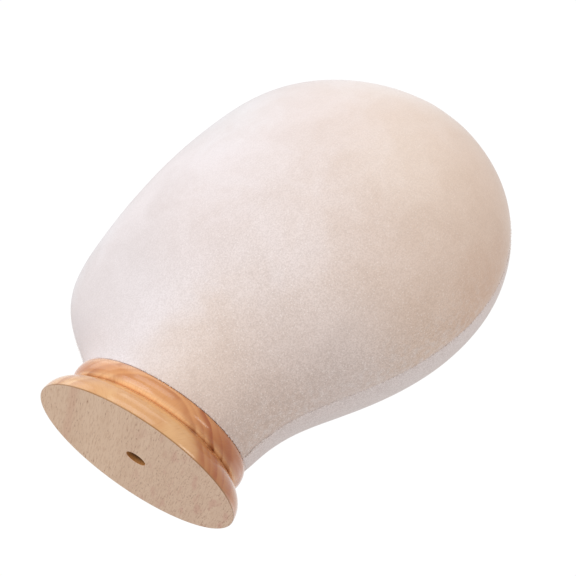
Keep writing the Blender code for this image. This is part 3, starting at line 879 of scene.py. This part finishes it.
def add_pile(name, roots, lengths, material, seed):
    """A tuft that strays a little at every root, given as (place, direction)."""
    dice = random.Random(seed)
    bm = bmesh.new()
    for root, direction in roots:
        stray = Vector([dice.gauss(0, TUFT_STRAY) for _ in range(3)])
        length = dice.uniform(*lengths)
        radius = dice.uniform(*TUFT_RADII) * MM
        spike(bm, root, (direction + stray).normalized(), radius, length)
    mesh = bpy.data.meshes.new(name)
    bm.to_mesh(mesh)
    bm.free()
    piece = add_piece(name, mesh, [material])
    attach(piece, "root")


def hem_roots():
    """Roots close round the neck's lower edge, in uneven clumps, fewer towards the face."""
    dice = random.Random(5)
    roots = []
    for i in range(HEM_CLUMPS * TUFTS_PER_CLUMP):
        clump = i // TUFTS_PER_CLUMP
        sway = CLUMP_SWAY * math.sin(clump * CLUMP_SWAY_TURN)
        turn = clump + sway + dice.gauss(0, CLUMP_SPREAD)
        angle = math.tau * turn / HEM_CLUMPS
        outward = Vector((math.cos(angle), math.sin(angle), 0))
        if outward.y < HEM_FRONT_SIDE and dice.random() < HEM_FRONT_THINNING:
            continue
        height = NECK_BOTTOM + dice.uniform(*HEM_ROOT_HEIGHTS) * MM
        place = Vector((0, AXIS_Y, height)) + outward * (NECK_RADIUS - HEM_ROOT_DEPTH)
        roots.append((place, (outward - Vector((0, 0, HEM_TUFT_DROOP))).normalized()))
    return roots


def seam_roots(piece, side):
    """Roots on one cover's outer edge along the seam, leaning over it."""
    dice = random.Random(9 + side)
    nearest, farthest = (SEAM_GAP / 2 + offset for offset in SEAM_ROOT_BAND)
    lowest = NECK_BOTTOM + SEAM_PILE_START
    roots = []
    for vert in piece.data.vertices:
        on_edge = nearest < abs(vert.co.x) < farthest and vert.co.z > lowest
        if not on_edge or vert.normal.dot(vert.co - HEAD_MIDDLE) <= 0:
            continue
        for _ in range(SEAM_TUFTS_PER_VERTEX):
            scatter = Vector([dice.uniform(-1, 1) * MM for _ in range(3)]) * SEAM_ROOT_SCATTER
            lean = vert.normal - Vector((side * SEAM_TUFT_LEAN, 0, 0))
            place = vert.co + scatter - vert.normal * SEAM_ROOT_DEPTH * MM
            roots.append((place, lean.normalized()))
    return roots


# Studio

AMBIENT = (0.69, 0.64, 0.60)
WHITE = 1.03
LAMP_DISTANCE = 1.2
# Each lamp's name, degrees across and above the camera's direction, size, watts and colour
LAMPS = (
    ("key_low", (-40, 20), (0.8, 0.8), 5.0, (0.92, 1.0, 1.07)),
    ("key_high", (2, 57), (1.1, 0.45), 2.8, (0.92, 1.0, 1.07)),
    ("top", (125, 62), (0.8, 0.8), 2.3, (1.0, 0.98, 0.97)),
    ("rim", (-110, 40), (0.8, 0.8), 1.8, (0.95, 1.0, 1.05)),
    ("under", (130, -45), (0.8, 0.8), 1.0, (1.0, 1.0, 1.0)),
    ("glint", (53, 6), (0.42, 0.18), 1.0, (1.0, 0.95, 0.91)),
)
FLOOR_TONE = 0.86
FLOOR_HALF_SIDE = 2.0
FLOOR_DROP = 0.3 * MM
FLOOR_FADE = (0.35, 1.4)


def add_softbox(name, angles, size, watts, colour):
    """Rectangular lamp that faces the head, at angles from the camera's own direction."""
    across, above = (math.radians(angle) for angle in angles)
    toward = (BACK * math.cos(above) * math.cos(across)
              + RIGHT * math.cos(above) * math.sin(across) + UP * math.sin(above))
    data = bpy.data.lights.new(name, "AREA")
    data.shape = "RECTANGLE"
    data.size, data.size_y = size
    data.energy = watts
    data.color = colour
    lamp = bpy.data.objects.new(name, data)
    bpy.context.scene.collection.objects.link(lamp)
    level = Vector((0, 0, 1)).cross(toward).normalized()
    place = CAMERA_TARGET + toward * LAMP_DISTANCE
    lamp.matrix_world = pose_matrix(level, toward.cross(level), toward, place)
    lamp.visible_camera = False


def larger(tree, a, b):
    """A node that gives the larger of two sockets' values."""
    node = tree.nodes.new("ShaderNodeMath")
    node.operation = "MAXIMUM"
    tree.links.new(a, node.inputs[0])
    tree.links.new(b, node.inputs[1])
    return node.outputs[0]


def mix_shaders(tree, share, first, second, output):
    mix = tree.nodes.new("ShaderNodeMixShader")
    for source, socket in zip((share, first, second), mix.inputs):
        tree.links.new(source, socket)
    tree.links.new(mix.outputs[0], output.inputs["Surface"])


def add_world():
    """White behind the object and in what it mirrors, and a soft even light on it."""
    world = bpy.data.worlds.new("studio")
    bpy.context.scene.world = world
    world.use_nodes = True
    tree = world.node_tree
    even = tree.nodes["Background"]
    even.inputs["Color"].default_value = (*AMBIENT, 1.0)
    white = tree.nodes.new("ShaderNodeBackground")
    white.inputs["Color"].default_value = (WHITE, WHITE, WHITE, 1.0)
    rays_seen = tree.nodes.new("ShaderNodeLightPath").outputs
    seen = larger(tree, rays_seen["Is Camera Ray"], rays_seen["Is Glossy Ray"])
    seen = larger(tree, seen, rays_seen["Is Transmission Ray"])
    mix_shaders(tree, seen, even.outputs[0], white.outputs[0], tree.nodes["World Output"])


def floor_material():
    """Pale and matt, clear from below, and fading into the white background."""
    material = bpy.data.materials.new("floor")
    material.use_nodes = True
    tree = material.node_tree
    tree.nodes.remove(tree.nodes["Principled BSDF"])
    surface = tree.nodes.new("ShaderNodeBsdfDiffuse")
    surface.inputs["Color"].default_value = (FLOOR_TONE, FLOOR_TONE, FLOOR_TONE, 1.0)
    clear = tree.nodes.new("ShaderNodeBsdfTransparent")
    place = tree.nodes.new("ShaderNodeTexCoord")
    length = tree.nodes.new("ShaderNodeVectorMath")
    length.operation = "LENGTH"
    tree.links.new(place.outputs["Object"], length.inputs[0])
    fade = tree.nodes.new("ShaderNodeMapRange")
    fade.interpolation_type = "SMOOTHSTEP"
    fade.inputs["From Min"].default_value, fade.inputs["From Max"].default_value = FLOOR_FADE
    tree.links.new(length.outputs["Value"], fade.inputs["Value"])
    below = tree.nodes.new("ShaderNodeNewGeometry").outputs["Backfacing"]
    gone = larger(tree, fade.outputs["Result"], below)
    mix_shaders(tree, gone, surface.outputs[0], clear.outputs[0], tree.nodes["Material Output"])
    return material


def add_floor():
    bm = bmesh.new()
    bmesh.ops.create_grid(bm, x_segments=1, y_segments=1, size=FLOOR_HALF_SIDE,
                          matrix=Matrix.Translation((0, 0, -FLOOR_DROP)))
    mesh = bpy.data.meshes.new("floor")
    bm.to_mesh(mesh)
    bm.free()
    floor = add_piece("floor", mesh, [floor_material()])
    floor.visible_shadow = False
    floor.visible_diffuse = False
    floor.visible_glossy = False


# Assembly

def build_base():
    base = lathe("turned_base", base_profile(), BASE_STEPS,
                 [lacquered_material(), raw_material(), bore_material()])
    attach(base, "root")
    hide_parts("base")


def build_cover(hand, side, node, skin, tips):
    """One half of the velvet cover and the loose pile along its seam."""
    name = "velvet_cover_" + hand
    piece = velvet_half(name, side, skin, velvet_material(name, side < 0))
    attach(piece, "root")
    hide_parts(node)
    add_pile("seam_pile_" + hand, seam_roots(piece, side), SEAM_TUFT_LENGTHS, tips, 3 + side)


def build_velvet():
    skin = head_skin()
    tips = pile_tip_material()
    build_cover("left", 1, "velvet_left", skin, tips)
    build_cover("right", -1, "velvet_right", skin, tips)
    add_pile("hem_pile", hem_roots(), HEM_TUFT_LENGTHS, tips, 2)
    skin.free()


def finish_inner_nodes():
    """Give every CAD node that stays its own material."""
    steel = steel_material()
    special = {"neck_plug": plywood_material(), "foam_core": foam_material()}
    for name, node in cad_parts.items():
        if not node.hide_render:
            node.data.materials.clear()
            node.data.materials.append(special.get(name, steel))


build_base()
build_velvet()
finish_inner_nodes()
add_floor()
add_world()
for lamp in LAMPS:
    add_softbox(*lamp)
bpy.context.scene.view_settings.view_transform = "Standard"
